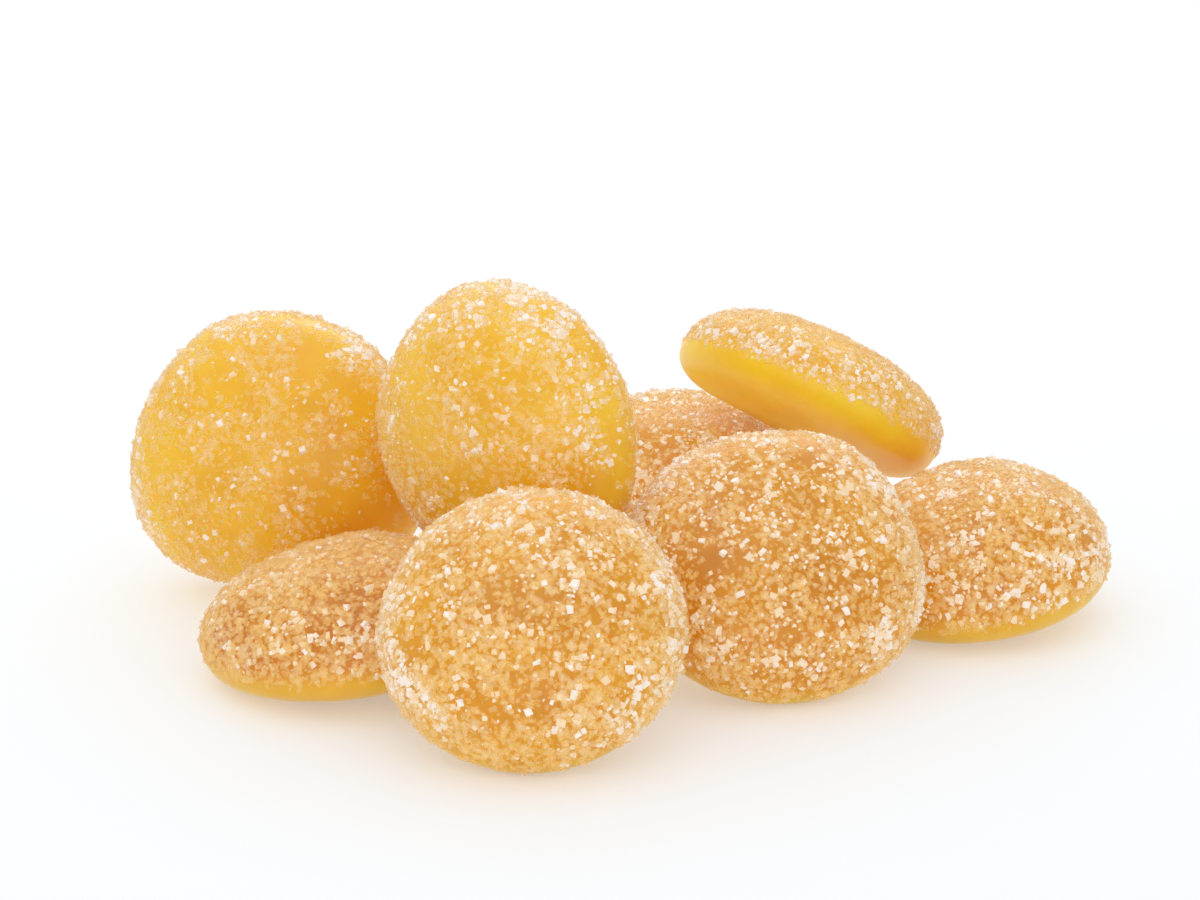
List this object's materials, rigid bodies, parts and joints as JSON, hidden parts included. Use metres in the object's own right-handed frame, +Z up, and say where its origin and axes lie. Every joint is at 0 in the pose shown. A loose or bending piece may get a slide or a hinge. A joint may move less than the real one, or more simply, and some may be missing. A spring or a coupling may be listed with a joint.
{
  "type": "heap of sugared fruit gums",
  "caption": "Loose heap of sugar-coated amber fruit gums, each a low dome on a shallow rounded base, leaning on one another as they fell.",
  "frame": {"origin": "on the surface that the heap lies on, under the middle of its box", "axes": "+X to the right and along the longest side as seen from the front, +Y to the back, +Z up"},
  "size_m": [0.0858, 0.0736, 0.032],
  "materials": {
    "sugared_gum": "translucent amber gel under a dense coat of sugar, bare and smooth at the foot",
    "lightly_sugared_gum": "translucent golden gel that glows with light from behind, under a thinner coat of sugar",
    "sugar": "small glittering crystals, near white"
  },
  "bodies": {
    "root": {"gum_back_left": "lightly_sugared_gum", "gum_back_middle": "lightly_sugared_gum", "gum_front_left": "sugared_gum", "gum_front_middle": "sugared_gum", "gum_front_right": "sugared_gum", "gum_behind": "sugared_gum", "gum_upper_right": "lightly_sugared_gum", "gum_right": "sugared_gum"}
  },
  "joints": []
}
